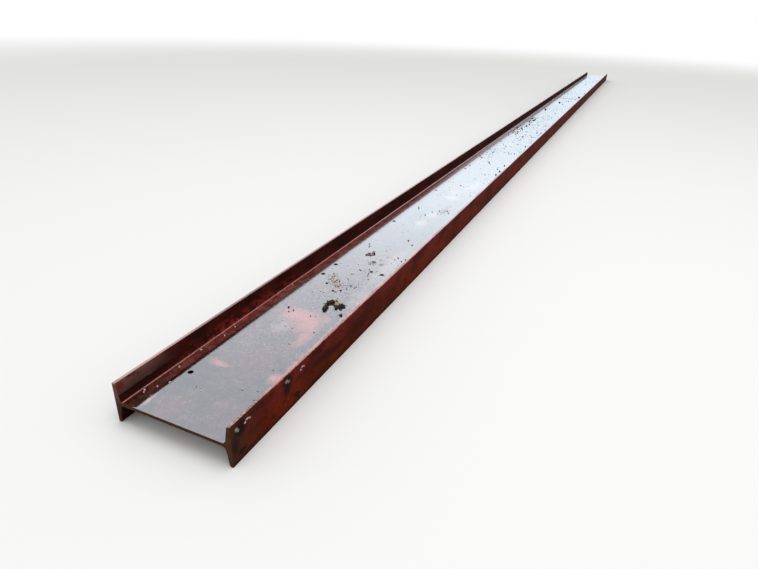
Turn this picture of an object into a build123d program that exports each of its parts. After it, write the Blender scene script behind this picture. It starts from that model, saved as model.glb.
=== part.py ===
from build123d import *
import os
from math import atan, pi, tan

# A rolled steel girder with tapered flanges, as it lies in a stock yard: on the edges of its flanges,
# web level. X runs across the depth of the section, Y along the girder from its near end to its far end,
# Z is up. The origin is under the middle of the girder, at the level of the flange edges that it lies on.

# Piece of stock, 45 feet long
length = 13716.0

# Rolled section, 18 inches deep, 54.7 pounds a foot. The flange thickness is the one halfway out from the
# web: the inner faces slope 1 in 6, so that a flange is thick at its root and thin at its toes.
depth = 457.2
flange_width = 152.4
flange_thickness = 17.55
flange_slope = 1 / 6
web_thickness = 11.7
root_radius = 14.2
toe_radius = 7.0
edge_radius = 1.2

# Holes for 3/4 inch bolts, drilled through the web in two rows, with stations from the near end
hole_diameter = 20.6
row_spacing = 254.0
pair_pitch = 127.0
single_stations = (230.0, 2011.0, 2776.0)
near_pair_station = 1208.5
far_pair_station = 3572.5


def quarter_outline():
    """From the middle of the web to the middle of a flange, about the section's own middle."""
    half_web = web_thickness / 2
    half_flange = flange_width / 2
    taper = flange_slope * (half_flange - half_web) / 2
    outer_face = depth / 2
    toe_width = flange_thickness - taper
    toe = outer_face - toe_width
    root = outer_face - flange_thickness - taper

    # The rolls round the root and the inner side of the toe, and leave the outer edge nearly sharp. The
    # two roundings of a toe take up at most nine tenths of its width.
    toe_angle = pi / 2 + atan(flange_slope)
    toe_limit = 0.6 * toe_width * tan(toe_angle / 2)
    edge_limit = 0.3 * toe_width
    return FilletPolyline(
        (0, half_web),
        (root, half_web),
        (toe, half_flange),
        (outer_face, half_flange),
        (outer_face, 0),
        radius=(root_radius, min(toe_radius, toe_limit), min(edge_radius, edge_limit)),
    )


def rolled_section():
    """The whole section: the quarter outline mirrored across the web and across the middle."""
    quarter = quarter_outline()
    half = Curve() + [quarter, mirror(quarter, Plane.XZ)]
    return make_face(Curve() + [half, mirror(half, Plane.YZ)])


def drilled_holes(web_middle):
    """Centres of the web's holes: a row on the left, and one hole opposite it on the right."""
    half_pitch = pair_pitch / 2
    left_row = [
        *single_stations,
        near_pair_station - half_pitch,
        near_pair_station + half_pitch,
        far_pair_station - half_pitch,
        far_pair_station + half_pitch,
    ]
    right_row = [near_pair_station + half_pitch]
    places = []
    for side, row in ((-1, left_row), (1, right_row)):
        for station in row:
            places.append(Pos(side * row_spacing / 2, station - length / 2, web_middle))
    return places


def girder():
    """One piece: the section drawn out along Y, cut square at both ends, and drilled."""
    web_middle = flange_width / 2
    profile = Plane.XZ * Pos(0, web_middle) * rolled_section()
    steel = extrude(profile, length / 2, both=True)
    drill = Cylinder(hole_diameter / 2, 2 * web_thickness)
    return steel - [place * drill for place in drilled_holes(web_middle)]


os.makedirs("parts", exist_ok=True)
export_step(girder(), "parts/girder.step")
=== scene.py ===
import bpy
import bmesh
import math
import random
from mathutils import Euler, Matrix, Vector, noise


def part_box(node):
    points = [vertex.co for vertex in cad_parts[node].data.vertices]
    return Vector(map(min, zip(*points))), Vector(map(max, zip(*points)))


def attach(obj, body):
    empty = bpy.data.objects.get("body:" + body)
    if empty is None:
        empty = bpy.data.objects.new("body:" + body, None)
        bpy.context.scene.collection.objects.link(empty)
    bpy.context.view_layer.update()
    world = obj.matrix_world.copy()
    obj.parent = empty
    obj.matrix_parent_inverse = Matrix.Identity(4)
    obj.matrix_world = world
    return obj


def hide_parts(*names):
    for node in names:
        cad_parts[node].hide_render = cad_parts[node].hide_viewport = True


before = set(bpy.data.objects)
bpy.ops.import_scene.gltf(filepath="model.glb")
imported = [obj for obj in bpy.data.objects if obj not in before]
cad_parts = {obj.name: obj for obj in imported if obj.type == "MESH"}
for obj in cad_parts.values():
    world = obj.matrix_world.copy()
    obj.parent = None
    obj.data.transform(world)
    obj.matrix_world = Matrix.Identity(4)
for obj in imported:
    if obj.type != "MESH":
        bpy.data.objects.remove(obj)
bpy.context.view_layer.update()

# The girder: one length of steel, drawn red-hot through rolls that leave its flanges thick at the root and
# thin at the toes. It lies on the edges of its flanges with its web level, as it was stacked in the yard.
# It is primed red, drilled through the web for bolts, and sawn square at both ends.
low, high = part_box("girder")
near_end = low.y
far_end = high.y
length = far_end - near_end
half_depth = high.x
half_flange = (high.z - low.z) / 2
web_middle = (high.z + low.z) / 2

# The rolled section
flange_thickness = 0.01755
flange_slope = 1 / 6
web_thickness = 0.0117
root_radius = 0.0142
toe_radius = 0.007
edge_radius = 0.0012
half_web = web_thickness / 2
web_top = web_middle + half_web
flange_taper = flange_slope * (half_flange - half_web) / 2
toe_face = half_depth - flange_thickness + flange_taper
root_face = half_depth - flange_thickness - flange_taper

# Bolt holes, with stations from the near end
hole_radius = 0.0103
row_offset = 0.127
left_row_stations = (0.230, 1.145, 1.272, 2.011, 2.776, 3.509, 3.636)
right_row_stations = (1.272,)

# How far the mill and years of use have left it from true: all of it inwards of the sizes above
web_wave = 0.0004
flange_wave = 0.0006
wave_length = 0.3
wave_seed = 3.0
arris = 0.0011
nick_depth = 0.0011
nick_seed = 7.0
nicks_across = 4.0
nicks_along = 19.0
nick_rarity = 0.38
nick_steepness = 4.0

# Rings of the mesh: how far from the near end each spacing reaches, and the spacing. Flat stretches of a
# ring by their length, and how often each is cut: the web, the outsides of the flanges and their sloping
# insides. Places less than a hair apart count as one.
ring_spacings = ((0.06, 0.006), (1.2, 0.012), (4.0, 0.03), (length, 0.08))
flat_cuts = ((0.3, 1.0, 28), (0.12, 0.3, 12), (0.03, 0.12, 6))
hair = 1e-4


def ring_stations():
    """Distances from the near end of the rings of the mesh, close together where the near end shows most."""
    stations = []
    reached = 0.0
    while reached < length:
        spacing = next(spacing for stop, spacing in ring_spacings if reached < stop)
        reached = min(reached + spacing, length)
        stations.append(reached)
    return stations


def round_corners(steel, corners, radius, inside_angle, rounds):
    """Rounds corners of the outline with arcs of one radius."""
    slide = radius / math.tan(inside_angle / 2)
    bmesh.ops.bevel(steel, geom=corners, offset=slide, offset_type="OFFSET", segments=rounds, profile=0.5,
                    affect="VERTICES", material=-1, clamp_overlap=True)


def rolled_outline(steel):
    """The outline of the section at the near end, with root fillets, rounded toes and nearly sharp edges."""
    quarter = [(root_face, half_web), (toe_face, half_flange), (half_depth, half_flange)]
    right_half = quarter + [(x, -z) for x, z in reversed(quarter)]
    outline = right_half + [(-x, z) for x, z in reversed(right_half)]
    corners = [steel.verts.new((x, near_end, web_middle + z)) for x, z in outline]
    for before, corner in zip(corners[-1:] + corners, corners):
        steel.edges.new((before, corner))
    roots = [v for v in corners if abs(v.co.z - web_middle) < web_thickness]
    edges = [v for v in corners if abs(v.co.x) > half_depth - hair]
    toes = [v for v in corners if v not in roots and v not in edges]
    toe_angle = math.pi / 2 + math.atan(flange_slope)
    round_corners(steel, roots, root_radius, toe_angle, rounds=10)
    round_corners(steel, toes, toe_radius, toe_angle, rounds=6)
    round_corners(steel, edges, edge_radius, math.pi / 2, rounds=2)
    for shortest, longest, cuts in flat_cuts:
        flats = [e for e in steel.edges if shortest < e.calc_length() < longest]
        bmesh.ops.subdivide_edges(steel, edges=flats, cuts=cuts)


def draw_out(steel):
    """Draws the outline out along the girder, a ring at a time."""
    ring = steel.edges[:]
    reached = 0.0
    for station in ring_stations():
        drawn = bmesh.ops.extrude_edge_only(steel, edges=ring)["geom"]
        verts = [v for v in drawn if isinstance(v, bmesh.types.BMVert)]
        ring = [e for e in drawn if isinstance(e, bmesh.types.BMEdge) and e.is_boundary]
        bmesh.ops.translate(steel, verts=verts, vec=(0, station - reached, 0))
        reached = station
    for v in verts:
        v.co.y = far_end


def close_ends(steel):
    """Caps both sawn ends, with arrises that handling has rounded, each in two small steps."""
    for end, outwards in ((near_end, -1), (far_end, 1)):
        rim = [e for e in steel.edges if e.is_boundary and abs(e.verts[0].co.y - end) < hair]
        for v in {v for e in rim for v in e.verts}:
            v.co.y = end - outwards * arris
        cap = bmesh.ops.contextual_create(steel, geom=rim)["faces"]
        for inwards, forwards in ((0.3, 0.7), (0.7, 0.3)):
            bmesh.ops.inset_region(steel, faces=cap, thickness=inwards * arris, use_even_offset=True)
            bmesh.ops.translate(steel, verts=cap[0].verts[:], vec=(0, outwards * forwards * arris, 0))


def wear_out_of_true(steel):
    """Gives the web and flanges their slight waves, and the upright edges the nicks of years of lifting."""
    for v in steel.verts:
        along = v.co.y / wave_length
        if abs(v.co.x) < root_face:
            v.co.z += web_wave * noise.noise((v.co.x / wave_length, along, wave_seed))
        else:
            side = math.copysign(1.0, v.co.x)
            v.co.x -= side * flange_wave * (0.5 + 0.5 * noise.noise((side, along, v.co.z / wave_length)))
        if v.co.z > high.z - toe_radius / 2:
            bite = noise.noise((nicks_across * v.co.x, nicks_along * v.co.y, nick_seed)) - nick_rarity
            v.co.z -= nick_depth * max(0.0, nick_steepness * bite)


def drill_bits():
    """The drill, once at each hole of the two rows."""
    drills = bmesh.new()
    for side, row in ((-1, left_row_stations), (1, right_row_stations)):
        for station in row:
            place = Matrix.Translation((side * row_offset, near_end + station, web_middle))
            bmesh.ops.create_cone(drills, cap_ends=True, segments=40, radius1=hole_radius,
                                  radius2=hole_radius, depth=3 * web_thickness, matrix=place)
    return drills


def as_object(name, shape):
    """Makes an object at the origin from a bmesh, with its faces outwards."""
    bmesh.ops.recalc_face_normals(shape, faces=shape.faces)
    mesh = bpy.data.meshes.new(name)
    shape.to_mesh(mesh)
    shape.free()
    made = bpy.data.objects.new(name, mesh)
    bpy.context.scene.collection.objects.link(made)
    return made


def bore(blank, drills):
    """Drills the blank, and leaves no live modifier on it."""
    cut = blank.modifiers.new("holes", "BOOLEAN")
    cut.object = drills
    cut.operation = "DIFFERENCE"
    cut.solver = "EXACT"
    drilled = bpy.data.meshes.new_from_object(blank.evaluated_get(bpy.context.evaluated_depsgraph_get()))
    blank.modifiers.clear()
    blank.data = drilled
    bpy.data.objects.remove(drills)


steel = bmesh.new()
rolled_outline(steel)
draw_out(steel)
close_ends(steel)
wear_out_of_true(steel)
girder = as_object("girder_steel", steel)
bore(girder, as_object("drills", drill_bits()))


def add_node(tree, kind, inputs, **settings):
    """A node of a material. Each input is a value, or the output that feeds it."""
    made = tree.nodes.new("ShaderNode" + kind)
    for name, choice in settings.items():
        setattr(made, name, choice)
    for name, source in inputs.items():
        if isinstance(source, bpy.types.NodeSocket):
            tree.links.new(source, made.inputs[name])
        else:
            made.inputs[name].default_value = source
    return made


def axis(tree, place, letter):
    """Where a place lies on one axis: X across the girder, Y along it, Z up."""
    return add_node(tree, "SeparateXYZ", {0: place}).outputs[letter]


def blend(tree, share, first, second):
    """The first colour where the share is 0, the second where it is 1."""
    return add_node(tree, "Mix", {0: share, 6: first, 7: second}, data_type="RGBA").outputs[2]


def work_out(tree, operation, first, second):
    """One sum, kept between 0 and 1."""
    return add_node(tree, "Math", {0: first, 1: second}, operation=operation, use_clamp=True).outputs[0]


def times(tree, first, second):
    """A share of a share: full only where both are."""
    return work_out(tree, "MULTIPLY", first, second)


def plus(tree, first, second):
    """Two values added up, to 1 at most."""
    return work_out(tree, "ADD", first, second)


def either(tree, first, second):
    """The larger of two shares."""
    return work_out(tree, "MAXIMUM", first, second)


def fade(tree, value, none, full):
    """0 where the value is at none, 1 where it is at full, and smooth between them."""
    inputs = {"Value": value, "From Min": none, "From Max": full}
    return add_node(tree, "MapRange", inputs, interpolation_type="SMOOTHSTEP").outputs[0]


def fade_along(tree, along, none, full):
    """The same along the girder, with both given as distances from its near end."""
    return fade(tree, along, near_end + none, near_end + full)


def mottle(tree, place, scale, detail=3.0, stretch=(1, 1, 1), rough=0.55):
    """Uneven patches from 0 to 1, about one to each 1 / scale metres."""
    pulled = add_node(tree, "Mapping", {"Vector": place, "Scale": stretch}).outputs[0]
    inputs = {"Vector": pulled, "Scale": scale, "Detail": detail, "Roughness": rough}
    return add_node(tree, "TexNoise", inputs).outputs[0]


def patch(tree, place, centre, radii, soft):
    """1 inside an oval on the girder, fading to 0 at its rim. Soft is how much of its radius fades."""
    inputs = {"Vector": place, "Location": centre, "Scale": radii}
    inner = add_node(tree, "Mapping", inputs, vector_type="TEXTURE").outputs[0]
    reach = add_node(tree, "VectorMath", {0: inner}, operation="LENGTH").outputs["Value"]
    return fade(tree, reach, 1.0, 1.0 - soft)


# How thick a patch is through the web, and through a flange
web_patch_depth = 0.1
flange_patch_depth = 0.02


def web_patches(tree, place, ovals, soft):
    """Ovals on the web together. Each is a station, x, its reach along and across, and how strong it is."""
    together = 0.0
    for station, x, along, across, share in ovals:
        radii = (across, along, web_patch_depth)
        oval = patch(tree, place, (x, near_end + station, web_top), radii, soft)
        together = either(tree, times(tree, oval, share), together)
    return together


def flange_patches(tree, place, ovals, soft):
    """The same on the outside of the right flange: a station, height, reach along and up, and strength."""
    together = 0.0
    for station, z, along, up, share in ovals:
        radii = (flange_patch_depth, along, up)
        oval = patch(tree, place, (half_depth, near_end + station, z), radii, soft)
        together = either(tree, times(tree, oval, share), together)
    return together


def ragged(tree, place, scale, reach):
    """Places moved about a little, so that an outline that is drawn with them is ragged."""
    stir = add_node(tree, "TexNoise", {"Vector": place, "Scale": scale, "Detail": 4.0}).outputs["Color"]
    aside = add_node(tree, "VectorMath", {0: stir, 1: (0.5, 0.5, 0.5)}, operation="SUBTRACT").outputs[0]
    shift = add_node(tree, "VectorMath", {0: aside, "Scale": reach}, operation="SCALE").outputs[0]
    return add_node(tree, "VectorMath", {0: place, 1: shift}, operation="ADD").outputs[0]


def new_finish(name, roughness, specular_level, ior=1.5):
    """A material with its shader, its node tree and the places on the girder."""
    finish = bpy.data.materials.new(name)
    finish.use_nodes = True
    tree = finish.node_tree
    shader = tree.nodes["Principled BSDF"]
    shader.inputs["Roughness"].default_value = roughness
    shader.inputs["Specular IOR Level"].default_value = specular_level
    shader.inputs["IOR"].default_value = ior
    place = add_node(tree, "TexCoord", {}).outputs["Object"]
    return finish, tree, shader, place


def colour_and_gloss(tree, shader, colour, roughness):
    """Feeds a shader the colour and the roughness that a finish has worked out."""
    tree.links.new(colour, shader.inputs["Base Color"])
    tree.links.new(roughness, shader.inputs["Roughness"])


def roughen(tree, shader, height, depth):
    """Gives a surface relief of a depth in metres, from a height between 0 and 1."""
    bump = add_node(tree, "Bump", {"Height": height, "Distance": depth, "Strength": 1.0})
    tree.links.new(bump.outputs[0], shader.inputs["Normal"])


# Colours of the primer on the upright faces: its patches, the inside of the left flange, darker as painted
# shade, then where it has chalked, with a painted highlight along the right flange's top, where it is
# scorched, and the metal and scrapes of the weld spots
soaked_red = (0.024, 0.0040, 0.0025, 1)
deep_red = (0.052, 0.0058, 0.0030, 1)
rusty_red = (0.062, 0.0080, 0.0012, 1)
crimson = (0.110, 0.0120, 0.0085, 1)
bright_red = (0.115, 0.0115, 0.0025, 1)
glowing_red = (0.165, 0.0190, 0.0060, 1)
old_brown = (0.045, 0.0170, 0.0110, 1)
shaded_inner_red = (0.046, 0.0070, 0.0045, 1)
inner_black = (0.013, 0.006, 0.004, 1)
raw_red = (0.170, 0.0180, 0.0125, 1)
chalk_grey = (0.125, 0.054, 0.046, 1)
chalk_pink_sheen = (0.50, 0.25, 0.24, 1)
sky_sheen_grey = (0.66, 0.52, 0.53, 1)
black_scorch = (0.010, 0.0052, 0.0035, 1)
bare_weld = (0.27, 0.245, 0.21, 1)
fresh_scrape = (0.56, 0.44, 0.40, 1)

# Weld spots on the right flange, each a station, a height, its reach along and up, and how strong it is:
# where the primer is scorched, where grey metal shows, and bright scrapes
weld_scorches = (
    (0.046, 0.116, 0.044, 0.044, 1.00),
    (0.045, 0.032, 0.032, 0.015, 0.90),
    (0.018, 0.070, 0.026, 0.055, 0.70),
    (0.296, 0.122, 0.046, 0.038, 1.00),
    (0.290, 0.088, 0.034, 0.034, 0.90),
    (0.352, 0.033, 0.032, 0.014, 0.95),
    (0.525, 0.082, 0.090, 0.028, 0.80),
    (0.620, 0.066, 0.130, 0.026, 0.75),
    (0.820, 0.070, 0.120, 0.060, 0.50),
)
weld_metal = (
    (0.028, 0.124, 0.0095, 0.0095, 1.0),
    (0.035, 0.116, 0.0080, 0.0080, 0.8),
    (0.290, 0.124, 0.0120, 0.0100, 0.8),
    (0.303, 0.116, 0.0100, 0.0080, 0.6),
)
scrapes = (
    (0.069, 0.120, 0.0070, 0.0050, 0.9),
    (0.080, 0.1268, 0.0120, 0.0042, 1.0),
    (0.092, 0.1215, 0.0070, 0.0040, 0.8),
    (0.377, 0.117, 0.0060, 0.0055, 0.8),
    (0.387, 0.1248, 0.0110, 0.0040, 0.9),
    (0.398, 0.1195, 0.0070, 0.0036, 0.6),
)


def outer_primer(tree, place, along, up, broad, scuffs, flecks, speckled):
    """Primer in patches, with flecks, runs and bruises, brown where the end is handled, and darker low down
    with splash and painted shade of the ground.
    """
    raised = fade(tree, up, 0.045, 0.115)
    dull = blend(tree, raised, rusty_red, deep_red)
    lively = blend(tree, raised, bright_red, crimson)
    colour = blend(tree, fade(tree, broad, 0.36, 0.62), dull, lively)
    colour = blend(tree, speckled, colour, soaked_red)
    glowing = times(tree, fade(tree, flecks, 0.42, 0.30), 0.5)
    colour = blend(tree, glowing, colour, glowing_red)
    runs = mottle(tree, place, 55.0, 5.0, (1, 1, 0.25), rough=0.65)
    colour = blend(tree, times(tree, fade(tree, runs, 0.56, 0.70), 0.6), colour, soaked_red)
    bruised = times(tree, fade(tree, scuffs, 0.56, 0.66), 0.75)
    colour = blend(tree, bruised, colour, black_scorch)
    handled = times(tree, fade_along(tree, along, 0.18, 0.02), fade(tree, scuffs, 0.36, 0.50))
    colour = blend(tree, times(tree, handled, 0.85), colour, old_brown)
    # Darker towards the bottom edge: splash, and painted shade of the ground.
    low_edge_height = plus(tree, up, times(tree, scuffs, 0.06))
    splashed_and_painted_shade = times(tree, fade(tree, low_edge_height, 0.055, 0.032), 0.7)
    return blend(tree, splashed_and_painted_shade, colour, soaked_red)


def inner_primer(tree, place, along, up, torn_up, broad, scuffs, speckled):
    """Inside the left flange: darker as painted shade, blotched, redder low down, and by its end chalked,
    rubbed, and with a band of painted shade above the root.
    """
    # The inside is darker than the outside: painted shade.
    colour = blend(tree, fade(tree, broad, 0.42, 0.60), soaked_red, shaded_inner_red)
    low_down = times(tree, fade(tree, up, 0.128, 0.098), fade(tree, scuffs, 0.56, 0.44))
    low_down = times(tree, low_down, fade_along(tree, along, 0.22, 0.36))
    low_down = times(tree, low_down, fade_along(tree, along, 1.2, 0.7))
    colour = blend(tree, low_down, colour, raw_red)
    blotched = fade(tree, mottle(tree, place, 15.0, 5.0, (1, 0.5, 1), rough=0.6), 0.53, 0.62)
    colour = blend(tree, times(tree, blotched, 0.75), colour, inner_black)
    colour = blend(tree, speckled, colour, soaked_red)
    edge_height = plus(tree, up, times(tree, broad, 0.02))
    chalky = times(tree, fade(tree, edge_height, 0.112, 0.120), fade(tree, scuffs, 0.28, 0.50))
    weathered = plus(tree, times(tree, fade(tree, up, 0.115, 0.145), 0.45), 0.55)
    chalky = times(tree, times(tree, chalky, weathered), fade_along(tree, along, 0.30, 0.10))
    colour = blend(tree, chalky, colour, chalk_grey)
    # A near-black band just above the root, by the near end: painted shade.
    painted_root_shade = times(tree, fade(tree, torn_up, 0.110, 0.1065), fade(tree, torn_up, 0.099, 0.103))
    painted_root_shade = times(tree, painted_root_shade, fade_along(tree, along, 0.26, 0.20))
    colour = blend(tree, times(tree, painted_root_shade, 0.9), colour, black_scorch)
    corner = (-toe_face, near_end + 0.015, 0.134)
    rubbed = patch(tree, place, corner, (flange_patch_depth, 0.022, 0.014), soft=0.5)
    return blend(tree, times(tree, rubbed, 0.8), colour, bright_red)


def primer():
    """Red primer on the upright faces, with the weld spots of the right flange and its rim, chalked pink with
    a painted highlight.
    """
    finish, tree, shader, place = new_finish("red_primer", roughness=0.5, specular_level=0.02)
    across, along, up = (axis(tree, place, letter) for letter in "XYZ")
    broad = mottle(tree, place, 9.0, 5.0, (1, 0.55, 1), rough=0.62)
    scuffs = mottle(tree, place, 34.0, 6.0, (1, 0.6, 1), rough=0.72)
    grain = mottle(tree, place, 260.0, 5.0, rough=0.7)
    flecks = mottle(tree, place, 110.0, 5.0, (1, 0.7, 1), rough=0.75)
    speckled = times(tree, fade(tree, flecks, 0.53, 0.64), 0.7)
    torn = ragged(tree, place, 90.0, 0.012)
    torn_up = axis(tree, torn, "Z")

    outer = outer_primer(tree, place, along, up, broad, scuffs, flecks, speckled)
    inner = inner_primer(tree, place, along, up, torn_up, broad, scuffs, speckled)
    # The inside of the left flange, with its painted shade.
    inside = times(tree, fade(tree, across, 0.05, -0.05),
                   fade(tree, across, -half_depth + 0.004, -half_depth + 0.008))
    colour = blend(tree, inside, outer, inner)

    scorched = times(tree, flange_patches(tree, torn, weld_scorches, soft=0.75), 0.95)
    colour = blend(tree, scorched, colour, black_scorch)
    metal = flange_patches(tree, place, weld_metal, soft=0.7)
    metal = times(tree, metal, fade(tree, grain, 0.28, 0.5))
    colour = blend(tree, metal, colour, bare_weld)
    colour = blend(tree, flange_patches(tree, place, scrapes, soft=0.7), colour, fresh_scrape)

    # Along the top of the right flange's outside: chalked pink, with a painted highlight that turns sky-grey
    # farther off.
    outside = times(tree, fade(tree, across, half_depth - 0.006, half_depth - 0.003),
                    fade_along(tree, along, 0.12, 0.32))
    rim = times(tree, fade(tree, torn_up, high.z - 0.0060, high.z - 0.0025), outside)
    rim = times(tree, rim, fade(tree, scuffs, 0.72, 0.58))
    rim_chalk_and_sheen = blend(tree, fade_along(tree, along, 0.6, 3.0), chalk_pink_sheen, sky_sheen_grey)
    colour = blend(tree, rim, colour, rim_chalk_and_sheen)
    colour_and_gloss(tree, shader, colour, fade(tree, grain, -0.6, 1.1))

    relief = plus(tree, times(tree, grain, 0.5), times(tree, scuffs, 0.4))
    relief = plus(tree, relief, times(tree, metal, 0.5))
    roughen(tree, shader, relief, depth=0.0011)
    return finish


# Patches on the web, each a station, x, its reach along and across, and how strong it is: chalked primer
# that shows pink or pale through a thin film of rain, grey dirt, the stained rims of holes, mud, and silt
pink_blooms = (
    (0.745, -0.005, 0.088, 0.140, 0.8),
    (0.700, 0.060, 0.110, 0.080, 0.7),
    (0.760, 0.095, 0.045, 0.045, 0.6),
    (0.610, 0.100, 0.115, 0.040, 0.6),
    (0.665, 0.088, 0.070, 0.050, 0.6),
    (0.318, -0.074, 0.030, 0.064, 0.8),
    (0.335, -0.105, 0.024, 0.026, 0.4),
    (0.332, 0.152, 0.038, 0.036, 0.9),
    (0.430, 0.168, 0.080, 0.024, 0.7),
    (0.600, 0.175, 0.500, 0.026, 0.6),
    (1.040, 0.165, 0.100, 0.026, 0.5),
    (1.160, -0.135, 0.050, 0.016, 0.6),
    (0.140, 0.080, 0.036, 0.036, 0.13),
    (0.060, -0.060, 0.080, 0.120, 0.06),
)
pale_blooms = (
    (1.250, 0.176, 1.100, 0.030, 1.0),
    (1.400, 0.120, 0.420, 0.060, 0.5),
    (1.000, 0.135, 0.160, 0.045, 0.4),
    (2.070, 0.030, 0.110, 0.055, 0.5),
    (2.240, 0.035, 0.100, 0.050, 0.5),
    (2.660, 0.030, 0.090, 0.080, 0.6),
    (2.800, 0.010, 0.130, 0.070, 0.4),
    (3.020, 0.085, 0.250, 0.060, 0.5),
    (3.700, 0.176, 1.400, 0.026, 0.8),
    (0.640, -0.030, 0.070, 0.060, 0.5),
    (0.470, -0.080, 0.100, 0.060, 0.12),
    (0.050, -0.140, 0.060, 0.012, 0.8),
)
grey_dirt = (
    (1.372, 0.028, 0.028, 0.020, 0.8),
    (1.395, 0.025, 0.014, 0.009, 0.9),
    (1.380, 0.078, 0.018, 0.012, 0.6),
    (1.265, 0.015, 0.014, 0.005, 0.7),
    (1.100, 0.060, 0.090, 0.050, 0.4),
    (1.590, -0.094, 0.035, 0.006, 0.6),
    (2.350, 0.090, 0.070, 0.030, 0.5),
    (2.310, -0.085, 0.080, 0.016, 0.5),
    (2.215, -0.020, 0.050, 0.030, 0.4),
    (4.200, -0.060, 0.300, 0.060, 0.5),
    (4.200, -0.130, 0.250, 0.020, 0.7),
    (5.900, -0.130, 0.700, 0.035, 0.7),
    (5.600, -0.050, 0.600, 0.080, 0.4),
    (7.400, -0.120, 0.120, 0.020, 0.7),
    (8.280, -0.055, 0.120, 0.040, 0.6),
    (6.300, 0.000, 1.700, 0.180, 0.42),
    (8.850, 0.000, 0.050, 0.120, 0.7),
    (9.170, 0.130, 0.100, 0.018, 0.7),
)
stained_rims = (
    (1.145, -row_offset, 0.0150, 0.0135, 1.0),
    (1.272, -row_offset, 0.0150, 0.0135, 1.0),
    (1.272, row_offset, 0.0150, 0.0135, 1.0),
    (2.011, -row_offset, 0.0170, 0.0135, 1.0),
    (2.776, -row_offset, 0.0150, 0.0125, 0.6),
)
mud_stains = (
    (0.828, 0.060, 0.026, 0.016, 1.0),
    (0.862, 0.098, 0.022, 0.026, 1.0),
    (0.880, 0.046, 0.026, 0.014, 0.8),
)
tan_silt = (
    (1.068, -0.014, 0.040, 0.022, 1.0),
    (1.105, -0.044, 0.034, 0.018, 1.0),
    (1.145, -0.076, 0.036, 0.020, 1.0),
    (1.275, 0.064, 0.022, 0.014, 0.8),
    (1.478, -0.034, 0.038, 0.028, 0.8),
    (1.505, -0.045, 0.020, 0.016, 0.5),
)

# Colours of the primer under the film of rain
film_red = (0.115, 0.024, 0.016, 1)
film_rose = (0.185, 0.046, 0.034, 1)
near_dark_painted_shade = (0.070, 0.016, 0.010, 1)
near_red_painted_shade = (0.150, 0.038, 0.026, 1)
chalk_haze = (0.34, 0.24, 0.235, 1)
dim_brown = (0.030, 0.012, 0.010, 1)
pit_black = (0.012, 0.005, 0.004, 1)
bead_glint_white = (0.42, 0.31, 0.30, 1)

# Colours of the strip of web along the left flange, and of the dark line along its edge, a painted reflection
# of the flange's edge
strip_red = (0.150, 0.026, 0.019, 1)
strip_pink = (0.290, 0.080, 0.064, 1)
strip_pits = (0.045, 0.010, 0.007, 1)
rinsed_pink = (0.46, 0.380, 0.380, 1)
strip_black = (0.010, 0.006, 0.003, 1)
strip_brown = (0.078, 0.014, 0.007, 1)
reflected_edge_black = (0.010, 0.007, 0.004, 1)

# Colours of the patches
bloom_pale = (0.56, 0.400, 0.380, 1)
bloom_pink = (0.70, 0.190, 0.170, 1)
dirt_grey = (0.030, 0.024, 0.022, 1)
mud_brown = (0.016, 0.012, 0.008, 1)
silt_tan = (0.34, 0.215, 0.145, 1)


def filmed_primer(tree, place, along, broad, small, drops, grain, pitted):
    """Primer under the film: darker by the near end as painted shade, hazy where it has chalked, pitted, and
    dotted with painted glints of water beads.
    """
    far_off = blend(tree, fade(tree, broad, 0.35, 0.65), film_red, film_rose)
    # Darker by the near end: painted shade, as the film mirrors less of the sky there.
    near_end_painted_shade = blend(tree, fade(tree, broad, 0.38, 0.62), near_dark_painted_shade, near_red_painted_shade)
    colour = blend(tree, fade_along(tree, along, 0.9, 0.3), far_off, near_end_painted_shade)
    hazy = times(tree, fade(tree, small, 0.44, 0.64), fade(tree, grain, 0.44, 0.60))
    hazy = times(tree, hazy, fade(tree, drops, 0.38, 0.56))
    colour = blend(tree, times(tree, hazy, 0.5), colour, chalk_haze)
    dim = times(tree, fade(tree, small, 0.46, 0.32), 0.6)
    colour = blend(tree, dim, colour, dim_brown)
    colour = blend(tree, pitted, colour, pit_black)
    # Pale dots of water beads: painted glints.
    bead_glint_spots = mottle(tree, place, 120.0, 3.0, rough=0.7)
    bead_glints = times(tree, fade(tree, bead_glint_spots, 0.53, 0.63), fade(tree, drops, 0.36, 0.58))
    thick = plus(tree, times(tree, fade_along(tree, along, 0.25, 0.6), 0.6), 0.2)
    return blend(tree, times(tree, bead_glints, thick), colour, bead_glint_white)


def flange_strip(tree, along, small, drops, pitted):
    """The strip along the left flange: pitted red, rinsed pale farther on, soaked dark by the near end."""
    colour = blend(tree, fade(tree, small, 0.40, 0.62), strip_red, strip_pink)
    colour = blend(tree, times(tree, pitted, 0.8), colour, strip_pits)
    rinsed = times(tree, fade_along(tree, along, 2.4, 6.0), 0.95)
    colour = blend(tree, rinsed, colour, rinsed_pink)
    soaked = blend(tree, fade(tree, drops, 0.45, 0.55), strip_black, strip_brown)
    return blend(tree, fade_along(tree, along, 0.36, 0.0), colour, soaked)


def film_roughness(tree, across, along):
    """How dull the film is: ruffled past the near end, more so far off, and most by the left flange."""
    far = fade_along(tree, along, 1.2, 7.0)
    rough = plus(tree, times(tree, fade_along(tree, along, 0.14, 0.34), 0.06), 0.03)
    rough = plus(tree, rough, times(tree, far, 0.08))
    lapped = plus(tree, times(tree, far, 0.32), times(tree, fade_along(tree, along, 0.4, 0.8), 0.06))
    return plus(tree, rough, times(tree, fade(tree, across, -0.09, -0.15), lapped))


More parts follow.
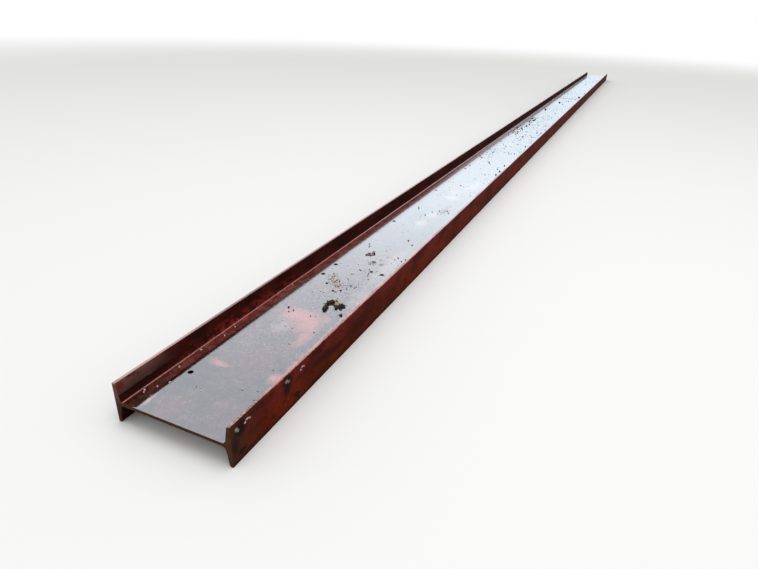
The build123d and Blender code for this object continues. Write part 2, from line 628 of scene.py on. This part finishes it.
def wet_primer():
    """The same primer under a film of rain on the level web, which mirrors the sky and the flanges."""
    finish, tree, shader, place = new_finish("wet_primer", roughness=0.06, specular_level=0.5, ior=3.4)
    shader.inputs["Coat Weight"].default_value = 1.0
    shader.inputs["Coat IOR"].default_value = 1.5
    shader.inputs["Coat Roughness"].default_value = 0.04
    across = axis(tree, place, "X")
    along = axis(tree, place, "Y")
    broad = mottle(tree, place, 5.0, 5.0, rough=0.6)
    small = mottle(tree, place, 26.0, 5.0, rough=0.65)
    drops = mottle(tree, place, 75.0, 4.0, rough=0.6)
    grain = mottle(tree, place, 210.0, 4.0, rough=0.6)
    pitted = times(tree, fade(tree, grain, 0.49, 0.38), fade(tree, drops, 0.60, 0.46))

    filmed = filmed_primer(tree, place, along, broad, small, drops, grain, pitted)
    strip = flange_strip(tree, along, small, drops, pitted)
    colour = blend(tree, fade(tree, across, -0.138, -0.150), filmed, strip)
    # A dark ragged line where the left flange's edge is mirrored in the film: painted reflection.
    frayed = axis(tree, ragged(tree, place, 60.0, 0.010), "X")
    painted_reflection_line = times(tree, fade(tree, frayed, -0.144, -0.149), fade(tree, frayed, -0.164, -0.154))
    painted_reflection_line = times(tree, painted_reflection_line, fade_along(tree, along, 2.60, 0.30))
    colour = blend(tree, painted_reflection_line, colour, reflected_edge_black)

    torn = ragged(tree, place, 26.0, 0.050)
    frosted = times(tree, fade(tree, grain, 0.20, 0.55), fade(tree, small, 0.15, 0.45))
    paled = times(tree, web_patches(tree, torn, pale_blooms, soft=0.85), frosted)
    colour = blend(tree, paled, colour, bloom_pale)
    bloomed = times(tree, web_patches(tree, torn, pink_blooms, soft=0.85), frosted)
    colour = blend(tree, bloomed, colour, bloom_pink)
    dirty = times(tree, web_patches(tree, torn, grey_dirt, soft=0.85), fade(tree, drops, 0.40, 0.58))
    dirty = either(tree, dirty, web_patches(tree, place, stained_rims, soft=0.35))
    colour = blend(tree, dirty, colour, dirt_grey)
    colour = blend(tree, web_patches(tree, place, mud_stains, soft=0.6), colour, mud_brown)
    sandy = times(tree, web_patches(tree, place, tan_silt, soft=0.9), fade(tree, grain, 0.36, 0.56))
    colour = blend(tree, times(tree, sandy, 0.9), colour, silt_tan)

    dulled = either(tree, times(tree, bloomed, 0.22), times(tree, dirty, 0.4))
    dulled = either(tree, dulled, times(tree, sandy, 0.45))
    colour_and_gloss(tree, shader, colour, plus(tree, film_roughness(tree, across, along), dulled))

    ripples = plus(tree, times(tree, grain, 0.20), times(tree, drops, 0.4))
    ripples = plus(tree, ripples, times(tree, small, 0.40))
    roughen(tree, shader, ripples, depth=0.00028)
    return finish


# Colours of the narrow edges, from the left flange to the right, and of the roots beside the web. The edges'
# pinks and greys are partly chalk, partly a painted reflection of the sky, greyer farther off; the roots'
# pinks are a painted highlight.
left_edge_red = (0.27, 0.075, 0.065, 1)
left_end_pink_sheen = (0.50, 0.245, 0.215, 1)
right_edge_pink_sheen = (0.62, 0.300, 0.280, 1)
edge_red = (0.32, 0.105, 0.095, 1)
worn_brown = (0.090, 0.036, 0.026, 1)
handled_brown = (0.085, 0.042, 0.030, 1)
root_red = (0.20, 0.038, 0.031, 1)
root_highlight_pink = (0.40, 0.115, 0.098, 1)
root_highlight_pale = (0.50, 0.260, 0.245, 1)


def damp_primer():
    """Primer on the narrow edges of the flanges and along the roots, only damp: chalked pink with painted sky
    reflection on the edges, and a painted highlight on the roots.
    """
    finish, tree, shader, place = new_finish("damp_primer", roughness=0.3, specular_level=0.5, ior=1.7)
    shader.inputs["Coat IOR"].default_value = 2.0
    shader.inputs["Coat Roughness"].default_value = 0.12
    across, along, up = (axis(tree, place, letter) for letter in "XYZ")
    on_edge = fade(tree, up, web_top + root_radius, web_top + 2 * root_radius)
    tree.links.new(times(tree, on_edge, 0.5), shader.inputs["Coat Weight"])
    broad = mottle(tree, place, 7.0, 4.0, (1, 0.6, 1))
    grain = mottle(tree, place, 120.0, 4.0)

    right = fade(tree, across, -0.1, 0.1)
    # The left edge pinker by its end, the right edge pink going sky-grey farther off: chalk with painted
    # reflection of the sky.
    left_chalk_and_sheen = blend(tree, fade_along(tree, along, 0.55, 0.25), left_edge_red, left_end_pink_sheen)
    chalk_and_sheen = blend(tree, right, left_chalk_and_sheen, right_edge_pink_sheen)
    far_sky_sheen = times(tree, fade_along(tree, along, 0.6, 3.0), right)
    chalk_and_sheen = blend(tree, far_sky_sheen, chalk_and_sheen, sky_sheen_grey)
    edge = blend(tree, fade(tree, broad, 0.32, 0.60), edge_red, chalk_and_sheen)
    worn = times(tree, fade(tree, grain, 0.52, 0.62), fade(tree, broad, 0.56, 0.42))
    worn = times(tree, worn, fade_along(tree, along, 1.6, 0.8))
    edge = blend(tree, times(tree, worn, 0.7), edge, worn_brown)
    handled = times(tree, fade_along(tree, along, 0.26, 0.08), right)
    handled = times(tree, handled, fade(tree, grain, 0.36, 0.52))
    edge = blend(tree, times(tree, handled, 0.8), edge, handled_brown)

    # The roots' pink, paler farther off, is a painted highlight.
    root = blend(tree, fade(tree, grain, 0.38, 0.60), root_red, root_highlight_pink)
    root = blend(tree, fade_along(tree, along, 0.9, 2.2), root, root_highlight_pale)
    colour_and_gloss(tree, shader, blend(tree, on_edge, root, edge), fade(tree, grain, -0.3, 1.5))
    roughen(tree, shader, grain, depth=0.0002)
    return finish


# Brown that the left flange's end is rubbed to, the colours of sawn steel, and those of drilled steel, near
# black as painted shade inside the holes
rubbed_brown = (0.125, 0.062, 0.050, 1)
sawn_fresh = (0.066, 0.024, 0.009, 1)
sawn_stained = (0.034, 0.012, 0.005, 1)
drilled_fresh_in_shade = (0.010, 0.005, 0.003, 1)
drilled_stained_in_shade = (0.004, 0.002, 0.0015, 1)


def cut_steel(name, fresh, stained):
    """A cut face, scored across by the saw or the drill and gone brown since."""
    finish, tree, shader, place = new_finish(name, roughness=0.7, specular_level=0.08)
    scores = mottle(tree, place, 900.0, 2.0, (0.05, 1, 1))
    rust = mottle(tree, place, 60.0, 5.0, rough=0.7)
    colour = blend(tree, fade(tree, rust, 0.35, 0.65), stained, fresh)
    rubbed = times(tree, fade(tree, axis(tree, place, "X"), -0.19, -0.21),
                   fade(tree, axis(tree, place, "Z"), 0.06, 0.11))
    colour = blend(tree, times(tree, rubbed, 0.8), colour, rubbed_brown)
    colour = blend(tree, times(tree, fade(tree, scores, 0.5, 0.7), 0.4), colour, soaked_red)
    tree.links.new(colour, shader.inputs["Base Color"])
    roughen(tree, shader, plus(tree, times(tree, scores, 0.5), rust), depth=0.0006)
    return finish


finishes = {
    "upright": primer(),
    "wet": wet_primer(),
    "edge": damp_primer(),
    "end": cut_steel("sawn_end", sawn_fresh, sawn_stained),
    # The hole walls are cut steel darkened to near black: painted shade inside the holes.
    "hole": cut_steel("drilled_wall_in_shade", drilled_fresh_in_shade, drilled_stained_in_shade),
}

# How far a face may lean from level and still be web, root or edge, and how far it looks along the girder
# or to the side where it is a cut one
film_reach = math.cos(math.radians(17))
damp_reach = math.cos(math.radians(36))
right_edge_reach = math.cos(math.radians(60))
left_edge_reach = math.cos(math.radians(36))
end_lean = 0.3
side_lean = 0.7


def finish_of(face):
    """Which finish a face of the girder has."""
    centre = face.center
    above_root = centre.z > web_top + root_radius
    if abs(face.normal.y) > end_lean and face.normal.z > end_lean:
        return "edge" if above_root else "end"
    if abs(face.normal.y) > end_lean:
        on_end = min(centre.y - near_end, far_end - centre.y) < 2 * arris
        return "end" if on_end else "hole"
    if abs(centre.x) < root_face - root_radius and abs(face.normal.x) > side_lean:
        return "hole"
    if above_root:
        reach = right_edge_reach if centre.x > 0 else left_edge_reach
        return "edge" if face.normal.z > reach else "upright"
    if face.normal.z > film_reach:
        return "wet"
    return "edge" if face.normal.z > damp_reach else "upright"


for finish in finishes.values():
    girder.data.materials.append(finish)
kinds = list(finishes)
for face in girder.data.polygons:
    face.use_smooth = True
    face.material_index = kinds.index(finish_of(face))
girder.data.set_sharp_from_angle(angle=math.radians(40))
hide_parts("girder")
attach(girder, "root")

# Clods of mud and leaf mould that have dropped on the web from boots and chains, and lie where they fell.
# They are soft lumps, pressed flat underneath, dark where they are wet, and tan on their crests, partly where
# they have dried and partly as a painted highlight.

# Each clod is a station, x, its reach and how flat it is. Each crest that has dried and is painted lit is a
# station, x, its reach along and across, and how strong it is.
clod_places = (
    (0.841, 0.056, 0.0095, 0.75),
    (0.857, 0.052, 0.0085, 0.75),
    (0.869, 0.044, 0.0060, 0.70),
    (0.892, 0.043, 0.0095, 0.75),
    (0.908, 0.052, 0.0110, 0.75),
    (0.914, 0.070, 0.0095, 0.75),
    (0.897, 0.084, 0.0115, 0.80),
    (0.872, 0.094, 0.0075, 0.70),
    (0.884, 0.108, 0.0090, 0.75),
    (0.902, 0.106, 0.0095, 0.70),
    (0.894, 0.121, 0.0060, 0.65),
    (0.829, 0.140, 0.0065, 0.70),
    (0.820, 0.146, 0.0040, 0.70),
    (0.868, 0.163, 0.0030, 0.70),
    (1.458, -0.042, 0.0075, 0.45),
    (1.463, -0.026, 0.0075, 0.45),
    (1.474, -0.038, 0.0085, 0.45),
    (1.470, -0.014, 0.0060, 0.40),
    (1.498, -0.026, 0.0050, 0.60),
    (1.488, -0.020, 0.0035, 0.60),
    (1.391, 0.027, 0.0050, 0.45),
    (1.372, 0.075, 0.0030, 0.40),
    (1.280, 0.066, 0.0060, 0.45),
    (1.268, 0.014, 0.0032, 0.50),
    (1.011, 0.001, 0.0045, 0.60),
    (1.030, 0.031, 0.0040, 0.55),
    (1.065, -0.062, 0.0042, 0.55),
    (1.092, 0.052, 0.0035, 0.55),
)
dry_lit_crests = (
    (0.899, 0.084, 0.020, 0.013, 1.0),
    (0.872, 0.050, 0.008, 0.006, 0.6),
)

# Crumbs about each clod: how many to a metre of its reach, and in shares of it how far they spread and
# their own least and most reach
crumbs_to_a_metre = 800
crumb_spread = 1.8
crumb_least = 0.12
crumb_most = 0.26
clod_dice = random.Random(18)

# A lump of radius 1: how close its broad and fine bumps stand, how strong the fine ones are, how low its
# flat side is, how high its middle lies over the web, and how far off in the noise its bumps are taken
broad_bumps = 1.4
fine_bumps = 4.0
fine_strength = 0.4
flat_side = -0.45
middle_height = 0.4
seed_reach = 50


def cover(piece, finish):
    """Gives a piece one finish all over, shaded smooth."""
    for face in piece.data.polygons:
        face.use_smooth = True
    piece.data.materials.append(finish)


def add_lump(heap, x, station, reach, flatness, facets, roughness, dice):
    """Puts a rough lump on the web: a ball pushed in and out at random, squashed and flat underneath."""
    lump = bmesh.new()
    bmesh.ops.create_icosphere(lump, subdivisions=facets, radius=1.0)
    seed = Vector([dice.uniform(-seed_reach, seed_reach) for _ in range(3)])
    for v in lump.verts:
        bumps = noise.noise(broad_bumps * v.co + seed)
        bumps += fine_strength * noise.noise(fine_bumps * v.co + seed)
        v.co *= 1.0 + roughness * bumps
        v.co.z = max(v.co.z, flat_side)
    turned = Matrix.Rotation(dice.uniform(0, 2 * math.pi), 4, "Z")
    stretched = Matrix.Diagonal((reach * dice.uniform(0.9, 1.25), reach * 0.9, reach * flatness, 1))
    place = Matrix.Translation((x, near_end + station, web_top + middle_height * reach * flatness))
    bmesh.ops.transform(lump, matrix=place @ turned @ stretched, verts=lump.verts)
    shell = bpy.data.meshes.new("lump")
    lump.to_mesh(shell)
    lump.free()
    heap.from_mesh(shell)
    bpy.data.meshes.remove(shell)


# Colours of the mud, from wet to dry
wet_soil = (0.020, 0.016, 0.009, 1)
leaf_mould = (0.026, 0.021, 0.014, 1)
damp_soil = (0.050, 0.041, 0.026, 1)
drying_soil = (0.20, 0.165, 0.110, 1)
sandy_soil = (0.235, 0.185, 0.145, 1)
dry_crest_highlight = (0.56, 0.43, 0.28, 1)


def mud():
    """Wet soil, paler on its crests, which are partly dry and partly painted lit, and sandier past the near
    pair of holes.
    """
    finish, tree, shader, place = new_finish("mud", roughness=0.75, specular_level=0.3)
    lumps = mottle(tree, place, 55.0, 3.0)
    crumbs = mottle(tree, place, 420.0, 6.0, rough=0.75)
    # Paler on the tops of the clods: dried soil and painted highlight.
    crest_dry_and_lit = fade(tree, axis(tree, place, "Z"), web_top + 0.002, web_top + 0.007)
    colour = blend(tree, fade(tree, lumps, 0.42, 0.62), wet_soil, damp_soil)
    drying = times(tree, crest_dry_and_lit, fade(tree, crumbs, 0.46, 0.60))
    colour = blend(tree, times(tree, drying, 0.35), colour, drying_soil)
    dried_and_highlit = times(tree, crest_dry_and_lit, web_patches(tree, place, dry_lit_crests, soft=0.5))
    colour = blend(tree, dried_and_highlit, colour, dry_crest_highlight)
    sandy = times(tree, fade_along(tree, axis(tree, place, "Y"), 1.2, 1.4), fade(tree, lumps, 0.30, 0.50))
    colour = blend(tree, sandy, colour, sandy_soil)
    colour = blend(tree, fade(tree, crumbs, 0.52, 0.66), colour, leaf_mould)
    colour_and_gloss(tree, shader, colour, fade(tree, crumbs, -0.9, 0.8))
    roughen(tree, shader, crumbs, depth=0.0022)
    return finish


clods = bmesh.new()
for station, x, reach, flatness in clod_places:
    add_lump(clods, x, station, reach, flatness, facets=4, roughness=0.8, dice=clod_dice)
    for _ in range(int(reach * crumbs_to_a_metre)):
        aside = x + clod_dice.uniform(-crumb_spread, crumb_spread) * reach
        ahead = station + clod_dice.uniform(-crumb_spread, crumb_spread) * reach
        size = reach * clod_dice.uniform(crumb_least, crumb_most)
        add_lump(clods, aside, ahead, size, flatness=0.8, facets=2, roughness=0.6, dice=clod_dice)
mud_clods = as_object("mud_clods", clods)
cover(mud_clods, mud())
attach(mud_clods, "root")

# Sand and small stones kicked up on to the web: pale, tan and dark grains, thickest beside the near pair of
# holes, with a few along the left flange where rain has washed them.

# Each heap is a station, x, how far it spreads along and across, and how many stones are in it. Each single
# grain is a station, x and its reach.
grain_heaps = (
    (1.066, -0.012, 0.020, 0.011, 40),
    (1.102, -0.042, 0.018, 0.010, 34),
    (1.142, -0.074, 0.020, 0.011, 40),
    (1.085, 0.040, 0.040, 0.026, 26),
    (1.020, 0.015, 0.030, 0.026, 10),
    (0.330, -0.182, 0.110, 0.004, 2),
    (0.150, -0.176, 0.050, 0.008, 2),
    (1.275, 0.066, 0.014, 0.010, 8),
    (1.480, -0.036, 0.022, 0.014, 12),
    (1.330, 0.100, 0.100, 0.040, 10),
    (1.120, 0.030, 0.110, 0.075, 60),
    (1.320, 0.060, 0.110, 0.070, 34),
    (0.960, -0.010, 0.080, 0.070, 22),
)
grain_places = (
    (0.373, 0.115, 0.0036),
    (0.232, 0.090, 0.0034),
    (0.166, -0.025, 0.0028),
    (0.176, -0.036, 0.0024),
    (0.250, 0.140, 0.0034),
    (0.205, 0.157, 0.0030),
    (0.153, -0.147, 0.0036),
    (0.084, -0.190, 0.0034),
    (0.074, -0.183, 0.0026),
    (0.237, -0.184, 0.0030),
    (0.356, -0.190, 0.0034),
    (0.475, -0.178, 0.0030),
    (0.545, 0.073, 0.0046),
    (0.545, -0.184, 0.0030),
    (0.660, 0.112, 0.0040),
    (0.645, 0.020, 0.0032),
    (0.645, -0.012, 0.0034),
    (0.680, -0.048, 0.0026),
)

# How far from the middle of the web grains may lie, clear of the roots
root_clearance = 0.001
web_flat = root_face - root_radius - root_clearance

# Reach of the stones and of the sand, which is thrown farther about, and how many grains come with a stone
stone_least = 0.0012
stone_spread = 0.0022
coarse_stone = 0.002
sand_least = 0.0004
sand_most = 0.0009
sand_throw = 1.3
grains_to_a_stone = 4
grain_dice = random.Random(54)

# Colours of the stones, of the flecks in them, and of the near ones' sides, painted shaded on one side and
# lit on the other
dark_stone = (0.046, 0.036, 0.030, 1)
tan_stone = (0.48, 0.345, 0.250, 1)
pale_stone = (0.74, 0.69, 0.63, 1)
stone_fleck = (0.08, 0.06, 0.045, 1)
shaded_grit = (0.055, 0.052, 0.050, 1)
lit_grit = (0.62, 0.61, 0.60, 1)


def stones():
    """Many kinds of stone, so that each grain has a colour of its own, and grey grit by the near end, painted
    lit on one side and shaded on the other.
    """
    finish, tree, shader, place = new_finish("stones", roughness=0.6, specular_level=0.4)
    kinds = mottle(tree, place, 90.0, 1.0)
    flecks = mottle(tree, place, 900.0, 3.0)
    colour = blend(tree, fade(tree, kinds, 0.40, 0.47), dark_stone, tan_stone)
    colour = blend(tree, fade(tree, kinds, 0.53, 0.58), colour, pale_stone)
    # By the near end each grain is painted lit on its side towards +x and shaded on the other.
    facing = axis(tree, add_node(tree, "TexCoord", {}).outputs["Normal"], "X")
    grit = blend(tree, fade(tree, facing, -0.5, 0.4), shaded_grit, lit_grit)
    colour = blend(tree, fade_along(tree, axis(tree, place, "Y"), 0.95, 0.85), colour, grit)
    colour = blend(tree, times(tree, fade(tree, flecks, 0.58, 0.72), 0.5), colour, stone_fleck)
    colour_and_gloss(tree, shader, colour, fade(tree, flecks, -0.6, 1.2))
    roughen(tree, shader, flecks, depth=0.0005)
    return finish


grains = bmesh.new()
for station, x, along, across, count in grain_heaps:
    for number in range(grains_to_a_stone * count):
        if number < count:
            reach = stone_least + stone_spread * grain_dice.random() ** 2
            thrown = 1.0
        else:
            reach = grain_dice.uniform(sand_least, sand_most)
            thrown = sand_throw
        aside = max(-web_flat, min(web_flat, x + grain_dice.gauss(0, thrown * across)))
        ahead = max(2 * arris, station + grain_dice.gauss(0, thrown * along))
        facets = 2 if reach > coarse_stone else 1
        add_lump(grains, aside, ahead, reach, 0.8, facets, roughness=0.5, dice=grain_dice)
for station, x, reach in grain_places:
    add_lump(grains, x, station, reach, flatness=0.75, facets=3, roughness=0.5, dice=grain_dice)
sand_grains = as_object("sand_grains", grains)
cover(sand_grains, stones())
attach(sand_grains, "root")

# Dark specks all along the web: bits of bark, leaf and road dirt that the rain has left, closest together
# from a third of the way along to the middle.

# Each single speck is a station, x and its reach. Each band of small ones is from one station to another,
# its middle and spread across, how many there are, and their least and most reach.
speck_places = (
    (0.762, 0.033, 0.0028),
    (0.770, -0.055, 0.0034),
    (0.783, -0.087, 0.0044),
    (0.752, -0.066, 0.0028),
    (1.700, 0.115, 0.0040),
    (1.753, 0.071, 0.0046),
    (1.569, -0.082, 0.0034),
    (1.600, -0.098, 0.0034),
    (1.478, -0.010, 0.0042),
    (1.494, -0.018, 0.0046),
    (1.508, -0.028, 0.0044),
    (1.498, 0.117, 0.0036),
    (1.466, 0.148, 0.0036),
    (1.498, 0.158, 0.0036),
    (2.215, 0.000, 0.0036),
    (2.295, 0.018, 0.0039),
    (2.320, -0.085, 0.0034),
    (2.345, -0.096, 0.0034),
    (2.330, 0.115, 0.0034),
    (2.365, 0.098, 0.0039),
    (2.340, 0.052, 0.0034),
    (2.776, 0.131, 0.0032),
    (2.990, -0.005, 0.0036),
    (3.398, 0.071, 0.0036),
    (3.448, 0.148, 0.0066),
    (3.560, 0.151, 0.0059),
    (3.585, 0.146, 0.0047),
    (3.637, 0.114, 0.0051),
    (3.786, 0.139, 0.0059),
    (3.815, -0.002, 0.0055),
    (3.845, -0.012, 0.0047),
    (3.980, -0.113, 0.0051),
    (4.030, -0.142, 0.0055),
    (4.250, -0.080, 0.0051),
    (4.690, 0.138, 0.0070),
    (5.180, 0.012, 0.0070),
    (5.500, 0.105, 0.0062),
    (6.030, 0.115, 0.0062),
    (5.870, -0.085, 0.0090),
    (6.230, -0.122, 0.0105),
    (7.100, 0.060, 0.0062),
    (7.390, -0.118, 0.0105),
    (8.280, -0.055, 0.0115),
    (9.160, 0.131, 0.0125),
    (12.560, -0.174, 0.0150),
)
speck_bands = (
    (0.10, 1.20, 0.00, 0.160, 26, 0.0007, 0.0018),
    (1.20, 2.60, 0.00, 0.160, 70, 0.0008, 0.0024),
    (1.352, 1.396, 0.028, 0.018, 100, 0.0006, 0.0014),
    (1.388, 1.404, 0.024, 0.009, 36, 0.0007, 0.0016),
    (1.366, 1.396, 0.076, 0.011, 44, 0.0006, 0.0013),
    (2.26, 2.44, 0.085, 0.032, 44, 0.0009, 0.0026),
    (2.16, 2.26, -0.030, 0.040, 24, 0.0008, 0.0020),
    (2.60, 4.20, 0.00, 0.160, 90, 0.0012, 0.0032),
    (3.90, 4.60, -0.09, 0.060, 50, 0.0018, 0.0040),
    (4.20, 7.00, 0.00, 0.170, 260, 0.0018, 0.0050),
    (5.20, 6.60, -0.12, 0.045, 170, 0.0022, 0.0076),
    (7.00, 10.0, 0.00, 0.170, 140, 0.0020, 0.0058),
    (8.82, 8.90, -0.01, 0.140, 80, 0.0014, 0.0036),
    (10.0, 13.5, 0.00, 0.170, 60, 0.0022, 0.0060),
)
speck_dice = random.Random(45)

# Colours of the bark and its fibres
bark_black = (0.007, 0.006, 0.006, 1)
bark_brown = (0.030, 0.020, 0.014, 1)
bark_fibre = (0.07, 0.050, 0.036, 1)


def wet_bark():
    """Nearly black, with a brown that shows on the thicker bits."""
    finish, tree, shader, place = new_finish("wet_bark", roughness=0.6, specular_level=0.1)
    kinds = mottle(tree, place, 70.0, 2.0)
    fibres = mottle(tree, place, 700.0, 4.0)
    colour = blend(tree, fade(tree, kinds, 0.44, 0.66), bark_black, bark_brown)
    colour = blend(tree, times(tree, fade(tree, fibres, 0.55, 0.75), 0.4), colour, bark_fibre)
    colour_and_gloss(tree, shader, colour, fade(tree, fibres, -0.7, 1.2))
    roughen(tree, shader, fibres, depth=0.0006)
    return finish


specks = bmesh.new()
for station, x, reach in speck_places:
    add_lump(specks, x, station, reach, flatness=0.7, facets=3, roughness=0.7, dice=speck_dice)
for start, stop, centre, spread, count, least, most in speck_bands:
    for _ in range(count):
        aside = max(-web_flat, min(web_flat, centre + speck_dice.uniform(-spread, spread)))
        reach = least + (most - least) * speck_dice.random() ** 2
        station = speck_dice.uniform(start, stop)
        add_lump(specks, aside, station, reach, flatness=0.7, facets=1, roughness=0.7, dice=speck_dice)
dark_specks = as_object("dark_specks", specks)
cover(dark_specks, wet_bark())
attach(dark_specks, "root")

# The floor and the light: a pale floor that fades to white far off, a soft even sky, and one broad lamp
# overhead. Wet steel mirrors the sky a little brighter where it is low, as a pale studio wall would be.
floor_reach = 80
floor_grey = (0.84, 0.84, 0.83, 1)
fade_start = 9.0
fade_stop = 22.0
pure_white = (1, 1, 1, 1)

floor_shape = bmesh.new()
bmesh.ops.create_grid(floor_shape, x_segments=1, y_segments=1, size=floor_reach)
floor = as_object("floor", floor_shape)
floor_paint, tree, shader, place = new_finish("floor_paint", roughness=0.9, specular_level=0.0)
shader.inputs["Base Color"].default_value = floor_grey
distance = add_node(tree, "VectorMath", {0: place}, operation="LENGTH").outputs["Value"]
seen = add_node(tree, "LightPath", {}).outputs["Is Camera Ray"]
far_off = times(tree, fade(tree, distance, fade_start, fade_stop), seen)
white = add_node(tree, "Emission", {"Color": pure_white, "Strength": 1.0}).outputs[0]
faded = add_node(tree, "MixShader", {0: far_off, 1: shader.outputs[0], 2: white}).outputs[0]
tree.links.new(faded, tree.nodes["Material Output"].inputs["Surface"])
floor.data.materials.append(floor_paint)

# The sky that lights the girder, the one that it mirrors, and the band in that where it is brightest
sky_grey = (0.86, 0.86, 0.86, 1)
sky_blue = (0.785, 0.920, 1.01)
band_height = 0.30
band_reach = 0.155
band_gain = 0.79

world = bpy.data.worlds.new("soft_sky")
bpy.context.scene.world = world
world.use_nodes = True
tree = world.node_tree
toward = add_node(tree, "TexCoord", {}).outputs["Generated"]
height = axis(tree, toward, "Z")
offset = add_node(tree, "Math", {0: height, 1: band_height}, operation="SUBTRACT").outputs[0]
offset = add_node(tree, "Math", {0: offset, 1: band_reach}, operation="DIVIDE").outputs[0]
squared = add_node(tree, "Math", {0: offset, 1: offset}, operation="MULTIPLY").outputs[0]
falling = add_node(tree, "Math", {0: squared, 1: -1.0}, operation="MULTIPLY").outputs[0]
band = add_node(tree, "Math", {0: falling}, operation="EXPONENT").outputs[0]
gain = add_node(tree, "Math", {0: band, 1: band_gain, 2: 1.0}, operation="MULTIPLY_ADD").outputs[0]
mirrored = add_node(tree, "VectorMath", {0: sky_blue, "Scale": gain}, operation="SCALE").outputs[0]
light_path = add_node(tree, "LightPath", {})
lit = blend(tree, light_path.outputs["Is Glossy Ray"], sky_grey, mirrored)
lit = blend(tree, light_path.outputs["Is Camera Ray"], lit, pure_white)
tree.links.new(lit, tree.nodes["Background"].inputs["Color"])

lamp_height = 9.0
lamp_right = 1.5
lamp_ahead = 1.0
lamp_data = bpy.data.lights.new("broad_lamp", "AREA")
lamp_data.shape = "DISK"
lamp_data.size = 7.0
lamp_data.energy = 260.0
lamp = bpy.data.objects.new("broad_lamp", lamp_data)
lamp.location = (lamp_right, near_end + lamp_ahead, lamp_height)
lamp.visible_glossy = False
bpy.context.scene.collection.objects.link(lamp)

# The camera: held at chest height to the right of the near end, turned a little to the left and tipped down.
camera_height = 1.22307
camera_right = 1.08694
camera_behind = 0.94477
heading = math.radians(23.7045)
tip_down = math.radians(26.2824)
roll = math.radians(2.4283)
focal_pixels = 550.58
frame_pixels = 758
lens_data = bpy.data.cameras.new("camera")
camera = bpy.data.objects.new("camera", lens_data)
bpy.context.scene.collection.objects.link(camera)
lens_data.sensor_width = 36.0
lens_data.lens = focal_pixels / frame_pixels * lens_data.sensor_width
lens_data.clip_end = 200
standing = Matrix.Translation((camera_right, near_end - camera_behind, camera_height))
look = Euler((math.pi / 2 - tip_down, 0, heading)).to_matrix()
camera.matrix_world = standing @ (look @ Matrix.Rotation(roll, 3, "Z")).to_4x4()
bpy.context.scene.camera = camera
bpy.context.scene.view_settings.view_transform = "Standard"
